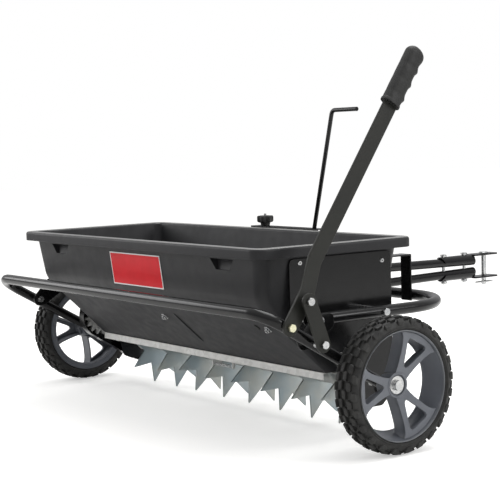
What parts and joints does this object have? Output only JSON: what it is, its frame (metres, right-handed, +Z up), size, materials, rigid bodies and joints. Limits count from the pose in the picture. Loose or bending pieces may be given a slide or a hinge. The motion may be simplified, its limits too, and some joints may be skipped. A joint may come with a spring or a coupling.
{
  "type": "tow-behind spiker seeder",
  "caption": "Tow-behind lawn spiker seeder: a charcoal hopper over a row of star spikes, on a black tube frame with two wheels, a drawbar and a lift lever.",
  "frame": {"origin": "on the ground under the middle of the machine's length and width", "axes": "+X to the machine's right side, where the lift lever is; +Y forward, the way it is towed; +Z up"},
  "size_m": [1.207, 1.1189, 0.7455],
  "materials": {
    "hopper_plastic": "moulded charcoal polyethylene, fine satin grain",
    "black_paint": "gloss black powder coat",
    "lever_paint": "satin dark grey paint",
    "galvanised": "galvanised sheet and bar",
    "star_zinc": "bluish zinc plate",
    "bright_zinc": "bright zinc plate",
    "tyre_rubber": "matt black tread rubber",
    "rim_plastic": "moulded slate-grey plastic",
    "grip_vinyl": "soft black moulding",
    "label_red": "plain red plate with a white border",
    "nylon": "white nylon"
  },
  "bodies": {
    "chassis": {"hopper": "hopper_plastic", "label_plate": "label_red", "end_plate_left": "black_paint", "end_plate_right": "black_paint", "shaft_bearing_left": "nylon", "shaft_bearing_right": "nylon", "gear_guard": "black_paint", "main_frame_tube": "black_paint", "frame_bolt_rear_left": "bright_zinc", "frame_bolt_rear_right": "bright_zinc", "frame_bolt_front_left": "bright_zinc", "frame_bolt_front_right": "bright_zinc", "front_bracket_left": "black_paint", "front_bracket_right": "black_paint", "pivot_plate_left": "black_paint", "pivot_plate_right": "black_paint", "drawbar_tube_upper": "black_paint", "drawbar_tube_lower": "black_paint", "drawbar_bolt": "bright_zinc", "drawbar_bracket": "black_paint", "hitch_plate_upper": "black_paint", "hitch_plate_lower": "black_paint", "hitch_bolt_rear": "bright_zinc", "hitch_bolt_front": "bright_zinc", "closure_guide": "galvanised", "closure_spring": "bright_zinc", "flow_bracket": "black_paint", "flow_gauge": "black_paint"},
    "lift_frame": {"lift_tube": "black_paint", "lever_bar": "lever_paint", "lever_brace": "lever_paint", "lever_grip": "grip_vinyl", "lever_foot_bolt": "bright_zinc", "brace_bolt": "bright_zinc", "pivot_bolt_right": "bright_zinc", "pivot_bolt_left": "bright_zinc", "axle_bolt_right": "bright_zinc", "axle_bolt_left": "bright_zinc"},
    "wheel_right": {"tyre_right": "tyre_rubber", "rim_right": "rim_plastic"},
    "wheel_left": {"tyre_left": "tyre_rubber", "rim_left": "rim_plastic"},
    "spiker": {"spiker_shaft": "galvanised", "spiker_star_1": "star_zinc", "spiker_star_2": "star_zinc", "spiker_star_3": "star_zinc", "spiker_star_4": "star_zinc", "spiker_star_5": "star_zinc", "spiker_star_6": "star_zinc", "spiker_star_7": "star_zinc", "spiker_star_8": "star_zinc"},
    "idler": {"idler_gear": "nylon"},
    "agitator": {"agitator_rod": "galvanised"},
    "closure": {"closure_plate": "galvanised"},
    "flow_arm": {"flow_rod": "black_paint"},
    "flow_stop": {"stop_block": "black_paint"},
    "knob": {"stop_knob": "grip_vinyl"},
    "pin": {"hitch_pin": "bright_zinc"},
    "clip": {"hairpin": "bright_zinc"}
  },
  "joints": [
    {"name": "lift", "type": "hinge", "parent": "chassis", "child": "lift_frame", "pos_m": [0, -0.446, 0.21551], "axis": [1, 0, 0], "range_deg": [0, 25]},
    {"name": "wheel_right_spin", "type": "hinge", "parent": "lift_frame", "child": "wheel_right", "pos_m": [0.57499, -0.2935, 0.127], "axis": [1, 0, 0], "continuous": true},
    {"name": "wheel_left_spin", "type": "hinge", "parent": "lift_frame", "child": "wheel_left", "pos_m": [-0.57499, -0.2935, 0.127], "axis": [1, 0, 0], "continuous": true},
    {"name": "spiker_spin", "type": "hinge", "parent": "chassis", "child": "spiker", "pos_m": [0, -0.20454, 0.094], "axis": [1, 0, 0], "continuous": true},
    {"name": "idler_spin", "type": "hinge", "parent": "chassis", "child": "idler", "pos_m": [-0.44369, -0.25579, 0.12976], "axis": [1, 0, 0], "continuous": true},
    {"name": "agitator_spin", "type": "hinge", "parent": "chassis", "child": "agitator", "pos_m": [0, -0.3132, 0.1698], "axis": [1, 0, 0], "continuous": true},
    {"name": "flow_swing", "type": "hinge", "parent": "chassis", "child": "flow_arm", "pos_m": [0.07165, -0.1175, 0.165], "axis": [0, -1, 0], "range_deg": [0, 35]},
    {"name": "closure_slide", "type": "slide", "parent": "chassis", "child": "closure", "axis": [1, 0, 0], "range_m": [0, 0.0271], "stiffness_N_per_m": 200, "springref_m": -0.02, "deforming": ["closure_spring"]},
    {"name": "stop_slide", "type": "slide", "parent": "chassis", "child": "flow_stop", "axis": [1, 0, 0], "range_m": [-0.02, 0]},
    {"name": "knob_turn", "type": "hinge", "parent": "flow_stop", "child": "knob", "pos_m": [-0.041, -0.1175, 0.39], "axis": [0, 0, 1], "continuous": true},
    {"name": "pin_turn", "type": "hinge", "parent": "chassis", "child": "pin", "pos_m": [0, 0.5255, 0.20204], "axis": [0, 0, 1], "continuous": true},
    {"name": "hairpin_out", "type": "slide", "parent": "pin", "child": "clip", "axis": [0, -1, 0], "range_m": [0, 0.032]}
  ],
  "couplings": [
    {"joint": "idler_spin", "follows": "spiker_spin", "ratio": -1.2727},
    {"joint": "agitator_spin", "follows": "spiker_spin", "ratio": 0.82353},
    {"joint": "closure_slide", "follows": "flow_swing", "m_per_rad": 0.044279}
  ]
}
